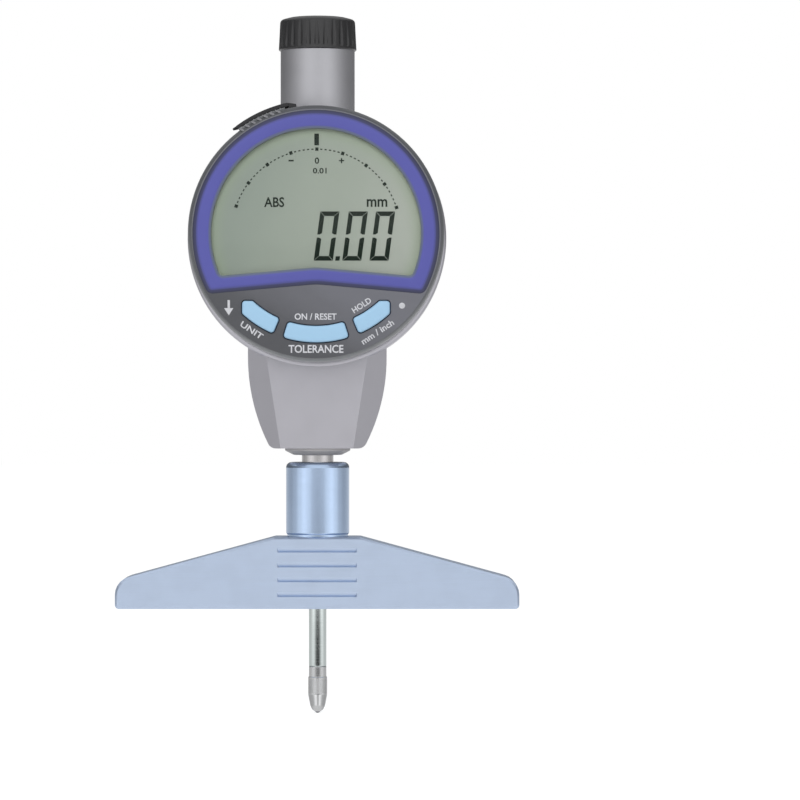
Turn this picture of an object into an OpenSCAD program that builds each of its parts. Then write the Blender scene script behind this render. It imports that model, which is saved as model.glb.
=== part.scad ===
// Digital depth gauge: an indicator head clamped upright on a flat steel base.
// Frame: +Z runs up the spindle, the dial faces -Y, and z = 0 is the base's measuring face.
// Lengths are in millimetres. Depths called "fwd" are measured from the spindle's axis towards
// the reader of the dial, so a point at fwd has y = -fwd. Dial angles start at the right (+X)
// and go anticlockwise as the reader sees them.

/* [Base] */
// Length of the base
base_len = 101.5; // [98:0.5:110]
// Depth of the base, front to back
base_depth = 16; // [15:0.5:20]
// Height of the flat top under the collar
base_h = 18; // [17.5:0.5:19.5]
// Height of the sloping top where it meets the ends
base_end_h = 7.1; // [6.8:0.1:8.5]
// Radius of the shoulder at each end
base_end_r = 4.6; // [3:0.1:6.4]
// Width of the flat top
base_flat_w = 21.5; // [19:0.5:28]
// Finger grooves on each side
groove_n = 4; // [2:1:4]
// Length of a finger groove
groove_len = 20; // [14:1:24]

/* [Collar and stem] */
// Outer diameter of the clamping collar
collar_d = 16; // [15:0.2:17]
// Height of the collar's top above the measuring face
collar_top = 36.8; // [34:0.2:37.4]
// Diameter of the stem
stem_d = 8; // [8:0.5:8]
// Outer diameter of the flange under the neck
flange_d = 16.5; // [15.5:0.1:18]

/* [Body] */
// Height of the neck's lower face
neck_z = 40.3; // [39.9:0.1:40.7]
// Width of the neck where it enters the round body
neck_w = 34.8; // [33:0.2:36]
// Height at which the neck starts to taper
neck_taper_z = 63; // [61:1:65]
// Radius of the neck's tapering sides
neck_side_r = 47.8; // [46.5:0.1:52]
// Radius of the round body
body_r = 32.4; // [32:0.1:33]
// Height of the round body's centre
body_z = 92.9; // [92.7:0.1:93.1]
// Half of the body's depth
body_half = 9.9; // [9.8:0.1:10.4]

/* [Display] */
// Radius of the display case
case_r = 31.8; // [31.6:0.1:32]
// Height of the display's centre
dial_z = 93.7; // [93.5:0.1:93.9]
// Outer radius of the blue frame, where it stands on the panel
frame_r = 30.6; // [30:0.1:30.7]
// Radius of the window
window_r = 26; // [25.8:0.1:26.3]
// Height of the peak of the window's lower edge, from the display's centre
window_low = -8.4; // [-8.9:0.1:-8]
// Height of the peak of the frame's lower edge, from the display's centre
frame_low = -12.6; // [-13:0.1:-12.3]
// How far those edges fall for each millimetre to the side
edge_fall = 0.09; // [0:0.01:0.11]

/* [Buttons] */
// Inner radius of the row of buttons
button_in_r = 22.9; // [22.7:0.1:23.2]
// Outer radius of the row of buttons
button_out_r = 27; // [26.7:0.1:27.2]
// How far a button stands proud of the panel
button_proud = 0.8; // [0.6:0.1:1.2]
// How far a button travels when it is pressed
button_stroke = 0.5; // [0.3:0.1:0.5]

/* [Sleeve and cap] */
// Outer diameter of the upper sleeve
sleeve_d = 18.7; // [18:0.1:19]
// Height of the joint between sleeve and cap
cap_z = 140.6; // [140.2:0.1:142]
// Height of the cap
cap_h = 8.4; // [8:0.1:9]
// Diameter of the cap
cap_d = 19.7; // [19.4:0.1:20.4]
// Flutes round the cap
flute_n = 28; // [20:1:32]

/* [Spindle] */
// Diameter of the spindle
spindle_d = 4.5; // [4.5:0.1:4.5]
// How far the contact stands out below the measuring face
reach = 26.6; // [26.2:0.1:27]
// Travel of the spindle
stroke = 27; // [25:0.5:27]
// Turns of the return spring
spring_turns = 14; // [8:1:16]

/* [Hidden] */
$fn = 96;

// Base
base_slope = 2 * (base_h - base_end_h) / (base_len - base_flat_w);
base_edge = 0.5;
base_foot_r = 1;
base_crown_r = 2;
spindle_hole_r = 3.5;
groove_h = 1.2;
groove_deep = 0.6;
groove_low_z = 3.05;
groove_pitch = 3.72;

// Collar, its screw and the stem
spigot_r = 6;
spigot_z = 6.5;
collar_relief = 0.3;
collar_screw_r = 1.5;
collar_screw_z = 30;
stem_bore_r = 3;
stem_low_z = 8;
flange_h = 1.7;
stem_seat_r = 5;
stem_seat_h = 10;
bush_wall_low_z = 13.5;
bush_len = 10;
run_gap = 0.03;

// Body
neck_half_depth = 9.7;
neck_corner_r = 2.2;
// Facets along the neck's sides: where one starts on the front face at the taper's height, how
// much further out it starts for each millimetre up, and how far it sinks for each one outwards
facet_x = 12.6;
facet_lean = 0.155;
facet_sink = 0.8;
wall = 2;
front_wall = 2.4;
cavity_r = body_r - wall;
body_edge = 1;
hub_r = 20;
hub_gap = 0.05;
pocket_x = 13;
pocket_y = 5.5;
pocket_z = 56;
bridge_z = 106;
bridge_h = 6;
bridge_front = 2.9;
bridge_back = 3.5;
bush_r = 3.2;
sleeve_seat_z = 118.2;
sleeve_bore_r = 7.7;
boss_r = 2.6;
boss_ring_r = 28.5;
cover_t = 1.6;
seal_in_r = 30.8;
seal_out_r = 31.5;
seal_t = 0.5;
screw_r = 0.8;

// Spindle, carrier and encoder
carrier_z = 58.5;
carrier_h = 6;
carrier_left = -5;
carrier_right = 12;
carrier_back = 3.2;
rail_w = 9.2;
rail_back = 3.4;
rail_t = 0.5;
scale_t = 0.5;
scale_top_z = 97;
cap_top_t = 1.4;
spindle_top_z = cap_z + cap_h - cap_top_t - stroke - 2.4;
contact_h = 11.8;
stud_r = 1.25;
stud_h = 5.5;
grip_r = 2.45;
ball_r = 0.8;
rod_x = 9.5;
rod_r = 1;
spring_wire_r = 0.2;
spring_r = 2.85;

// Encoder's fixed half
board_post_x = 24.5;
board_post_r = 2.2;
sensor_fwd = 5.5;
sensor_t = 0.8;
head_t = 0.7;

// Battery
cell_r = 10;
cell_t = 3.2;
cell_x = -17;
cell_z = 88;
tray_y = 3.6;
tray_t = 1.2;

// Display, in fwd depths
case_back = 10.3;
case_front = 21.3;
case_wall_t = 1.4;
panel_r = 30.9;
panel_back = 19.7;
ledge_r = 29.4;
hub_in_r = 17;
retainer_t = 0.95;
retainer_r = 21.5;
board_back = 13.5;
board_t = 1;
board_r = 26.9;
lcd_t = 1.8;
frame_t = 0.6;
frame_slope = 1.6;
peak_r = 20;
case_screw_ring_r = 28.2;
case_boss_r = 1.15;
case_screw_angles = [25, 155, 205, 335];

// Buttons: the ends of each one's arc as dial angles, and the row's side and upper limits
button_side_x = 18.3;
button_top = -16.7;
button_corner_r = 0.8;
button_gap = 0.25;
button_lip = 0.75;
button_back = panel_back - 0.7;
left_span = [-145, -113.2];
centre_span = [-107.6, -72.4];
right_span = [-66.8, -35];

// Data socket and its cover
socket_angle = 115.5;
socket_w = 14;
socket_low = 12.9;
socket_high = 17.6;
socket_in_r = 26.9;
socket_out_r = 30.8;
slot_w = 11;
slot_h = 2.9;
slot_deep = 3.3;
flap_gap = 0.6;
flap_t = 0.9;
flap_from = 102.8;
flap_to = 126.4;
flap_point = 2.2;
flap_low = 12.4;
flap_high = 19.2;
anchor_from = 100.4;
anchor_to = 101.8;
anchor_end = 99.2;
ribs = [105:2.1:125.9];
rib_from = 104;
rib_to = 126.6;
rib_h = 0.45;
rib_notch_r = 0.45;

// Geometry helpers
function unit(v) = v / norm(v);
function turned(v, a) = [v.x * cos(a) - v.y * sin(a), v.x * sin(a) + v.y * cos(a)];

// Points of the arc of radius r that rounds the corner b between a and c
function corner(a, b, c, r, steps) =
    r == 0 ? [b] :
    let (
        u = unit(a - b),
        w = unit(c - b),
        half = acos(u * w) / 2,
        centre = b + unit(u + w) * r / sin(half),
        first = b + u * r / tan(half) - centre,
        last = b + w * r / tan(half) - centre,
        sweep = (180 - 2 * half) * sign(cross(first, last))
    )
    [for (i = [0:steps]) centre + turned(first, sweep * i / steps)];

// The outline through pts with each corner i rounded to radii[i]
function rounded(pts, radii, steps = 5) =
    let (n = len(pts))
    [for (i = [0:n - 1])
        each corner(pts[(i + n - 1) % n], pts[i], pts[(i + 1) % n], radii[i], steps)];

// A body turned about the spindle's axis, from its half outline of [radius, z]
module lathe(outline) {
    rotate_extrude() polygon(outline);
}

// A body turned about the line parallel to Y at height z, from its half outline of [radius, fwd]
module dial_lathe(z, outline) {
    translate([0, 0, z]) rotate([90, 0, 0]) rotate_extrude() polygon(outline);
}

// A flat outline in the dial's plane, made solid from one fwd depth to another
module dial_slab(z, from, to) {
    translate([0, -from, z]) rotate([90, 0, 0]) linear_extrude(to - from) children();
}

// Copies at the given dial angles and radius, on lines parallel to Y about height z
module on_ring(z, radius, angles) {
    for (a = angles) translate([radius * cos(a), 0, z + radius * sin(a)]) children();
}

// A rod parallel to Y, from one fwd depth to another
module dial_rod(r, from, to) {
    translate([0, -from, 0]) rotate([90, 0, 0]) cylinder(r = r, h = to - from);
}

// A washer-shaped ring about the dial's axis
module dial_ring(z, in_r, out_r, from, to) {
    dial_slab(z, from, to) difference() {
        circle(r = out_r);
        circle(r = in_r);
    }
}

// Base: the outline as seen from the front, drawn in by inset for the bevelled edges
function base_outline(inset) =
    let (
        drop = inset * sqrt(1 + base_slope * base_slope),
        end_x = base_len / 2 - inset,
        end_z = base_end_h + base_slope * inset - drop,
        flat_x = base_len / 2 - (base_h - inset - base_end_h + drop) / base_slope
    )
    rounded([[-end_x, inset], [end_x, inset], [end_x, end_z], [flat_x, base_h - inset],
            [-flat_x, base_h - inset], [-end_x, end_z]],
        [base_foot_r, base_foot_r, base_end_r, base_crown_r, base_crown_r, base_end_r]);

module base_slab(inset, depth) {
    translate([0, depth / 2, 0]) rotate([90, 0, 0]) linear_extrude(depth)
        polygon(base_outline(inset));
}

// A groove deepest at its lower edge, running out upwards, with ends that slope outwards
module finger_groove(z) {
    front = base_depth / 2;
    half = groove_len / 2;
    intersection() {
        translate([-groove_len, 0, z]) rotate([90, 0, 90]) linear_extrude(2 * groove_len)
            polygon([[front - groove_deep, 0], [front + 1, 0], [front + 1, groove_h], [front, groove_h]]);
        translate([0, 0, z - 1]) linear_extrude(groove_h + 2)
            polygon([[-half - 1, front + 1], [half + 1, front + 1], [half - 1, front - 1],
                [-half + 1, front - 1]]);
    }
}

module base() {
    color("lightsteelblue") difference() {
        hull() {
            base_slab(0, base_depth - 2 * base_edge);
            base_slab(base_edge, base_depth);
        }
        translate([0, 0, -1]) cylinder(r = spindle_hole_r, h = spigot_z + 2);
        translate([0, 0, spigot_z]) cylinder(r = spigot_r, h = base_h);
        for (side = [0, 180], i = [0:groove_n - 1])
            rotate([0, 0, side]) finger_groove(groove_low_z + i * groove_pitch);
    }
}

module base_collar() {
    color("lightsteelblue") difference() {
        lathe(rounded([[stem_d / 2, spigot_z], [spigot_r, spigot_z], [spigot_r, base_h],
                [collar_d / 2 - collar_relief, base_h],
                [collar_d / 2 - collar_relief, base_h + 2 * collar_relief],
                [collar_d / 2, base_h + 3 * collar_relief], [collar_d / 2, collar_top],
                [stem_d / 2, collar_top]],
            [0, 0.5, 0, 0, 0.2, 0.2, 1.4, 0.4]));
        translate([0, 0, collar_screw_z]) rotate([-90, 0, 0])
            cylinder(r = collar_screw_r, h = collar_d);
    }
}

// Set screw with a hexagon socket, its flat point on the stem
module collar_clamp_screw() {
    point_y = stem_d / 2;
    color("dimgray") translate([0, point_y, collar_screw_z]) rotate([-90, 0, 0]) difference() {
        cylinder(r = collar_screw_r, h = 3.6);
        translate([0, 0, 1.8]) cylinder(r = 0.85, h = 3, $fn = 6);
    }
}

module stem() {
    r = stem_d / 2;
    top = neck_z + stem_seat_h;
    flange_z = neck_z - flange_h;
    color("silver") lathe(rounded([[stem_bore_r, stem_low_z], [r, stem_low_z], [r, flange_z],
            [flange_d / 2 - 2.2, flange_z], [flange_d / 2, neck_z - 0.6], [flange_d / 2, neck_z],
            [stem_seat_r, neck_z], [stem_seat_r, top], [stem_bore_r, top]],
        [0, 0.5, 0, 1.2, 0.4, 0, 0, 0.5, 0]));
}

module bush(z, length, out_r) {
    difference() {
        translate([0, 0, z]) cylinder(r = out_r, h = length);
        translate([0, 0, z - 1]) cylinder(r = spindle_d / 2 + run_gap, h = length + 2);
    }
}

module lower_bush() {
    color("darkgoldenrod") bush(bush_wall_low_z, bush_len, stem_bore_r);
}

module upper_bush() {
    color("darkgoldenrod") bush(bridge_z, bridge_h, bush_r);
}

// Neck, from the front: two arcs that close in from the taper's height to the rounded foot
module neck_outline() {
    axis_x = neck_w / 2 - neck_side_r;
    fall = neck_taper_z - neck_z;
    foot = [axis_x + sqrt(neck_side_r * neck_side_r - fall * fall), neck_z];
    up = foot + unit([fall, foot.x - axis_x]) * 30;
    intersection() {
        translate([axis_x, neck_taper_z]) circle(r = neck_side_r, $fn = 360);
        translate([-axis_x, neck_taper_z]) circle(r = neck_side_r, $fn = 360);
        translate([-neck_w, neck_z - 1]) square([2 * neck_w, fall + 1]);
        polygon(rounded([[-foot.x, foot.y], foot, up, [-up.x, up.y]],
            [neck_corner_r, neck_corner_r, 0, 0]));
    }
    translate([-neck_w / 2, neck_taper_z]) square([neck_w, body_z - cavity_r + 12 - neck_taper_z]);
}

// What the front right facet takes off: the space beyond its plane
module facet_cut() {
    out = unit([1, -1 / facet_sink, -facet_lean]);
    translate([facet_x, -neck_half_depth, neck_taper_z])
        rotate([0, acos(out.z), atan2(out.y, out.x)]) translate([-40, -40, 0]) cube([80, 80, 20]);
}

module neck() {
    difference() {
        translate([0, neck_half_depth, 0]) rotate([90, 0, 0]) linear_extrude(2 * neck_half_depth)
            neck_outline();
        for (left = [0, 1], back = [0, 1]) mirror([left, 0, 0]) mirror([0, back, 0]) facet_cut();
    }
}

// What stands inside the body's round cavity: the bridge, the sleeve's seat, bosses and posts
module body_inside() {
    intersection() {
        union() {
            translate([-body_r, -bridge_front, bridge_z])
                cube([2 * body_r, bridge_front + bridge_back, bridge_h]);
            translate([-12.5, -body_half + front_wall - 0.1, sleeve_seat_z - 1.5])
                cube([25, 2 * body_half - front_wall + 0.1, 12]);
            translate([-body_r, -2, cell_z - 4]) cube([body_r - 26.5, 2 + tray_y, 8]);
            on_ring(body_z, boss_ring_r, [45:90:315])
                dial_rod(boss_r, -body_half, body_half - front_wall + 0.1);
        }
        dial_slab(body_z, -body_half, body_half) circle(r = cavity_r + 0.2);
    }
    for (side = [-1, 1]) translate([side * board_post_x, 0, body_z])
        dial_rod(board_post_r, sensor_fwd + sensor_t, body_half - front_wall + 0.1);
    translate([-19, 0, cell_z - 10.5]) dial_rod(1.8, -tray_y, body_half - front_wall + 0.1);
}

module body_housing() {
    inner_front = body_half - front_wall;
    color("silver") difference() {
        union() {
            difference() {
                union() {
                    dial_lathe(body_z, rounded([[0, -body_half], [body_r, -body_half],
                            [body_r, body_half], [0, body_half]], [0, 0.5, body_edge, 0]));
                    neck();
                }
                dial_slab(body_z, -body_half - 1, inner_front) circle(r = cavity_r);
                translate([-pocket_x, -pocket_y, pocket_z])
                    cube([2 * pocket_x, 2 * pocket_y, 20]);
            }
            body_inside();
        }
        // Front wall: the hub's bearing and the friction ring's groove
        dial_slab(dial_z, inner_front - 1, body_half + 1) circle(r = hub_r + hub_gap);
        dial_ring(dial_z, hub_r + 2.2, hub_r + 3.8, body_half - 1, body_half + 1);
        // Seal's groove and screw holes in the back rim
        dial_ring(body_z, seal_in_r, seal_out_r, -body_half - 1, -body_half + seal_t);
        on_ring(body_z, boss_ring_r, [45:90:315]) dial_rod(screw_r, -body_half - 1, -4);
        // Everything on the spindle's axis
        translate([0, 0, neck_z - 1]) cylinder(r = stem_seat_r, h = stem_seat_h + 1);
        translate([0, 0, neck_z]) cylinder(r = stem_bore_r, h = pocket_z - neck_z + 1);
        translate([0, 0, bridge_z - 1]) cylinder(r = bush_r, h = bridge_h + 2);
        translate([0, 0, sleeve_seat_z - 3]) cylinder(r = sleeve_bore_r, h = 20);
        translate([0, 0, sleeve_seat_z]) cylinder(r = sleeve_d / 2, h = 20);
        translate([rod_x, 0, pocket_z - 2]) cylinder(r = rod_r, h = bridge_z - pocket_z + 4);
        for (side = [-1, 1]) translate([side * board_post_x, 0, body_z])
            dial_rod(screw_r, sensor_fwd, sensor_fwd + sensor_t + 2.4);
    }
}

// Screwed into the round body, with a thinner top that the cap screws onto
module upper_sleeve() {
    color("darkgray") lathe(rounded([[sleeve_bore_r, sleeve_seat_z], [sleeve_d / 2, sleeve_seat_z],
            [sleeve_d / 2, cap_z], [sleeve_bore_r + 0.8, cap_z], [sleeve_bore_r + 0.8, cap_z + 4.6],
            [sleeve_bore_r, cap_z + 4.6]], [0, 0, 0, 0, 0.3, 0]));
}

module sleeve_cap() {
    r = cap_d / 2;
    top = cap_z + cap_h;
    color([0.16, 0.16, 0.17]) difference() {
        lathe(rounded([[sleeve_bore_r + 0.8, cap_z], [r, cap_z], [r - 0.4, top - 0.7],
                [r - 3, top], [0, top], [0, top - cap_top_t], [sleeve_bore_r, top - cap_top_t],
                [sleeve_bore_r, cap_z + 4.6], [sleeve_bore_r + 0.8, cap_z + 4.6]],
            [0, 0.3, 1, 4, 0, 0, 0, 0, 0]));
        for (i = [0:flute_n - 1]) rotate([0, 0, i * 360 / flute_n])
            translate([r + 0.25, 0, cap_z + 0.8]) cylinder(r = 0.7, h = cap_h);
    }
}

module back_cover() {
    back = body_half + cover_t;
    color("silver") difference() {
        dial_lathe(body_z, rounded([[0, -back + 0.3], [22, -back + 0.3], [22.6, -back],
                [body_r - 0.2, -back], [body_r - 0.2, -body_half], [0, -body_half]],
            [0, 0, 0, 0.9, 0, 0]));
        on_ring(body_z, boss_ring_r, [45:90:315]) {
            dial_rod(screw_r, -back - 1, -body_half + 1);
            dial_rod(1.9, -back - 1, -back + 1);
        }
    }
}

module back_cover_seal() {
    color([0.1, 0.1, 0.1])
        dial_ring(body_z, seal_in_r, seal_out_r, -body_half, -body_half + seal_t);
}

// Cross-slotted screw: head from fwd head_end to head_end + head_h, shank beyond it
module pan_screw(head_r, head_h, shank_r, shank_h) {
    difference() {
        union() {
            dial_rod(head_r, 0, head_h);
            dial_rod(shank_r, head_h, head_h + shank_h);
        }
        for (turn = [0, 90]) rotate([0, turn, 0])
            translate([-head_r * 0.6, -head_h * 0.6, -head_r * 0.13])
                cube([head_r * 1.2, head_h, head_r * 0.26]);
    }
}

module back_cover_screws() {
    back = body_half + cover_t;
    color("gray") on_ring(body_z, boss_ring_r, [45:90:315])
        translate([0, back, 0]) pan_screw(1.9, 1, screw_r, 5.5);
}

module guide_rod() {
    color("gainsboro") translate([rod_x, 0, pocket_z - 2])
        cylinder(r = rod_r, h = bridge_z - pocket_z + 4);
}

module stop_bumper() {
    color([0.12, 0.12, 0.12]) translate([0, 0, pocket_z]) difference() {
        cylinder(r = 4.6, h = carrier_z - pocket_z);
        translate([0, 0, -1]) cylinder(r = spindle_d / 2 + 0.4, h = carrier_z);
    }
}

// Coil spring: a tube carried along a helix, with closed flat ends
spring_low = carrier_z + carrier_h + spring_wire_r;
spring_high = bridge_z - spring_wire_r;
spring_rings = 10;
spring_sides = 6;
function spring_at(t) = [spring_r * cos(360 * t), spring_r * sin(360 * t),
    spring_low + (spring_high - spring_low) * t / spring_turns];

module return_spring() {
    pitch = (spring_high - spring_low) / spring_turns;
    count = spring_turns * spring_rings;
    lean = atan(pitch / (360 * spring_r * PI / 180));
    points = [for (i = [0:count], s = [0:spring_sides - 1])
        let (t = i / spring_rings, around = 360 * s / spring_sides, a = 360 * t)
        spring_at(t) + spring_wire_r * (cos(around) * [cos(a), sin(a), 0]
            + sin(around) * [sin(a) * sin(lean), -cos(a) * sin(lean), cos(lean)])];
    sides = [for (i = [0:count - 1], s = [0:spring_sides - 1])
        let (a = i * spring_sides + s, b = i * spring_sides + (s + 1) % spring_sides)
        each [[a, b, b + spring_sides], [a, b + spring_sides, a + spring_sides]]];
    first = [for (s = [1:spring_sides - 2]) [0, s + 1, s]];
    last = [for (s = [1:spring_sides - 2]) [0, s, s + 1] + count * spring_sides * [1, 1, 1]];
    echo(spring_gap = pitch * cos(lean) - 2 * spring_wire_r);
    color("gainsboro") polyhedron(points = points, faces = concat(sides, first, last));
}

module sensor_board() {
    color("darkgreen") difference() {
        translate([-26, -sensor_fwd - sensor_t, body_z - 5.8]) cube([52, sensor_t, 11.6]);
        for (side = [-1, 1]) translate([side * board_post_x, 0, body_z])
            dial_rod(screw_r, sensor_fwd - 1, sensor_fwd + sensor_t + 1);
    }
}

module sensor_board_screws() {
    color("gray") for (side = [-1, 1]) translate([side * board_post_x, -sensor_fwd + 0.9, body_z])
        pan_screw(1.5, 0.9, screw_r, 3);
}

module read_head() {
    color([0.2, 0.2, 0.22]) translate([-4.5, -sensor_fwd, body_z - 6.3]) cube([9, head_t, 11]);
}

// Ribbon that leaves the sensor board and runs forward through the hub
module flex_cable() {
    front = sensor_fwd + sensor_t;
    color("peru") translate([-4, 0, 0]) rotate([90, 0, 90]) linear_extrude(8)
        polygon([[-front, body_z - 4.3], [-front - 0.3, body_z - 4.3], [-front - 0.3, dial_z - 0.3],
            [-board_back + 0.3, dial_z - 0.3], [-board_back + 0.3, dial_z], [-front, dial_z]]);
}

module battery_tray() {
    color([0.15, 0.15, 0.16]) translate([cell_x, 0, cell_z]) difference() {
        dial_rod(cell_r + 1.4, -tray_y - tray_t - 3.4, -tray_y);
        dial_rod(cell_r, -tray_y - tray_t - 4, -tray_y - tray_t);
        translate([cell_r - 3, tray_y + tray_t, -4]) cube([6, 4, 8]);
    }
}

module battery_contact() {
    color("gold") translate([cell_x, 0, cell_z])
        dial_rod(6, -tray_y - tray_t - 0.2, -tray_y - tray_t);
}

module coin_cell() {
    low = tray_y + tray_t + 0.2;
    color("gainsboro") translate([cell_x, 0, cell_z]) rotate([90, 0, 0]) rotate_extrude()
        polygon([[0, -low], [cell_r - 1.2, -low], [cell_r - 1, -low - 0.5], [cell_r, -low - 0.5],
            [cell_r, -low - cell_t], [0, -low - cell_t]]);
}

module friction_ring() {
    color([0.1, 0.1, 0.1]) translate([0, 0, dial_z]) rotate([90, 0, 0])
        rotate_extrude() translate([hub_r + 3, body_half - 0.35]) circle(r = 0.65, $fn = 24);
}

module spindle() {
    low = -reach + contact_h;
    r = spindle_d / 2;
    color("gainsboro") difference() {
        lathe(rounded([[0, low], [r, low], [r, spindle_top_z], [0, spindle_top_z]],
            [0, 0.2, 0.6, 0]));
        translate([0, 0, low - 1]) cylinder(r = stud_r, h = stud_h + 1.5);
    }
}

// Contact point with its grip bulge, screwed into the spindle and tipped with a ball
module contact_point() {
    top = -reach + contact_h;
    color("darkgray") difference() {
        lathe(rounded([[0, top + stud_h], [stud_r, top + stud_h], [stud_r, top], [2.15, top],
                [2.15, top - 1.2], [grip_r, top - 3.4], [grip_r, top - 6.2], [1.95, top - 9.8],
                [0.8, top - contact_h + 0.55], [0, top - contact_h + 0.55]],
            [0, 0.3, 0, 0.15, 1.5, 2, 3, 1.2, 0.15, 0]));
        translate([0, 0, -reach + ball_r]) sphere(r = ball_r);
    }
}

module contact_ball() {
    color("dimgray") translate([0, 0, -reach + ball_r]) sphere(r = ball_r);
}

// Block clamped on the spindle, with a rail in front that carries the scale
module scale_carrier() {
    front = rail_back + rail_t;
    color([0.25, 0.25, 0.27]) difference() {
        union() {
            translate([carrier_left, -front, carrier_z])
                cube([carrier_right - carrier_left, front + carrier_back, carrier_h]);
            translate([-rail_w / 2, -front, carrier_z])
                cube([rail_w, rail_t, scale_top_z - carrier_z]);
        }
        translate([0, 0, carrier_z - 1]) cylinder(r = spindle_d / 2, h = carrier_h + 2);
        translate([rod_x, 0, carrier_z - 1]) cylinder(r = rod_r + hub_gap, h = carrier_h + 2);
        translate([0, 0, carrier_z + carrier_h / 2]) rotate([-90, 0, 0])
            cylinder(r = screw_r, h = 6);
    }
}

module carrier_screw() {
    color("dimgray") translate([0, spindle_d / 2, carrier_z + carrier_h / 2]) rotate([-90, 0, 0])
        difference() {
            cylinder(r = screw_r, h = carrier_back - spindle_d / 2);
            translate([0, 0, 0.4]) cylinder(r = 0.4, h = 2, $fn = 6);
        }
}

module encoder_scale() {
    front = rail_back + rail_t + scale_t;
    color("khaki") translate([-rail_w / 2 + 0.4, -front, carrier_z + 0.5])
        cube([rail_w - 0.8, scale_t, scale_top_z - carrier_z - 0.5]);
}

// What lies below a soft peak on the dial's centre line, whose two straight sides fall away
module below_peak(peak) {
    side_z = peak - 40 * edge_fall;
    polygon(rounded([[-40, side_z], [0, peak], [40, side_z], [40, -60], [-40, -60]],
        [0, peak_r, 0, 0, 0]));
}

// Window's outline: a disc cut off below, its corners rounded
module window_2d(grow) {
    offset(r = 1.2 + grow) offset(delta = -1.2) difference() {
        circle(r = window_r, $fn = 144);
        below_peak(window_low);
    }
}

module frame_2d() {
    offset(r = 1.2) offset(delta = -1.2) difference() {
        circle(r = frame_r, $fn = 144);
        below_peak(frame_low);
    }
}

// What a disc leaves of its children when its edge slopes in from the panel to the front
module sloped_edge(r, from, to, slope) {
    intersection() {
        children();
        dial_lathe(dial_z, [[0, from - 1], [r + 0.1 + slope, from - 1], [r + 0.1, from],
            [r - slope, to], [r - slope, to + 1], [0, to + 1]]);
    }
}

// Case: a shallow round cup whose hub turns in the body's front wall
module display_case() {
    hub_end = body_half - front_wall - 0.05;
    inner_back = case_back + case_wall_t;
    color([0.36, 0.36, 0.38]) difference() {
        union() {
            dial_lathe(dial_z, rounded([[6, case_back], [hub_in_r, case_back], [hub_in_r, hub_end],
                    [hub_r, hub_end], [hub_r, case_back], [case_r, case_back],
                    [case_r, case_front - 1], [case_r - 0.6, case_front], [panel_r, case_front],
                    [panel_r, panel_back], [ledge_r, panel_back], [ledge_r, inner_back],
                    [6, inner_back]],
                [0, 0, 0.3, 0, 0, 0.8, 0.6, 0.2, 0, 0, 0, 0, 0]));
            on_ring(dial_z, case_screw_ring_r, case_screw_angles)
                dial_rod(case_boss_r, inner_back - 0.1, panel_back);
            on_ring(dial_z, 21, [90, 215, 325]) dial_rod(1.5, inner_back - 0.1, board_back);
            rim_sector(case_r - 0.5, case_r + rib_h, rib_from, rib_to, flap_low, case_front - 0.6);
        }
        on_ring(dial_z, case_screw_ring_r, case_screw_angles) {
            dial_rod(screw_r, case_back - 1, panel_back + 1);
            dial_rod(1.7, case_back - 1, case_back + 1);
        }
        on_ring(dial_z, 18.5, [90, 210, 330]) dial_rod(0.6, hub_end - 1, hub_end + 2.4);
        socket_box(socket_w, socket_low, socket_high, socket_in_r, case_r + 1);
        on_ring(dial_z, case_r + rib_h, ribs) dial_rod(rib_notch_r, flap_high, case_front + 1);
    }
}

// A box with its long side along the rim, between two radii at the socket's dial angle
module socket_box(w, low, high, in_r, out_r) {
    translate([0, 0, dial_z]) rotate([0, -socket_angle, 0])
        translate([in_r, -high, -w / 2]) cube([out_r - in_r, high - low, w]);
}

module data_socket() {
    mid = (socket_low + socket_high) / 2;
    color([0.12, 0.12, 0.13]) difference() {
        socket_box(socket_w, socket_low, socket_high, socket_in_r, socket_out_r);
        socket_box(slot_w, mid - slot_h / 2, mid + slot_h / 2, socket_out_r - slot_deep, case_r);
    }
}

module socket_pins() {
    mid = (socket_low + socket_high) / 2;
    color("gold") for (i = [-2:2]) translate([0, -mid, dial_z]) rotate([0, -socket_angle, 0])
        translate([socket_out_r - slot_deep, -0.2, i * 1.9 - 0.2]) cube([1.2, 0.4, 0.4]);
}

// The sector of a ring about the dial's axis, between two dial angles
module rim_sector(in_r, out_r, from, to, low, high) {
    dial_slab(dial_z, low, high) difference() {
        intersection() {
            circle(r = out_r);
            polygon([[0, 0], for (a = [from, (from + to) / 2, to])
                2 * out_r * [cos(a), sin(a)]]);
        }
        circle(r = in_r);
    }
}

// The pointed end of a strip on the rim: it starts inside the strip, near the dial angle from,
// and ends at the angle to on the strip's outer radius
module rim_point(in_r, out_r, from, to, low, high) {
    start = from + sign(from - to);
    dial_slab(dial_z, low, high) polygon([(in_r + 0.05) * [cos(start), sin(start)],
        (out_r - 0.05) * [cos(start), sin(start)], out_r * [cos(to), sin(to)]]);
}

module cover_anchor() {
    out_r = case_r + flap_gap + flap_t;
    color([0.2, 0.2, 0.22]) {
        rim_sector(case_r, out_r, anchor_from, anchor_to, flap_low, flap_high);
        rim_sector(case_r + flap_gap, out_r, anchor_end, anchor_from + 0.1, flap_low, flap_high);
    }
}

// Rubber cover over the data socket, hinged at its right end, with a point to lift it by
module port_cover() {
    in_r = case_r + flap_gap;
    out_r = in_r + flap_t;
    mid = (socket_low + socket_high) / 2;
    color([0.2, 0.2, 0.22]) {
        rim_sector(in_r, out_r, flap_from, flap_to, flap_low, flap_high);
        on_ring(dial_z, in_r + flap_t / 2, [flap_from]) dial_rod(flap_t / 2, flap_low, flap_high);
        rim_point(in_r, out_r, flap_to, flap_to + flap_point, flap_low, flap_high);
        socket_box(slot_w - 1, mid - slot_h / 2 + 0.35, mid + slot_h / 2 - 0.35,
            socket_out_r - 1, out_r - 0.6);
    }
}

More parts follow.
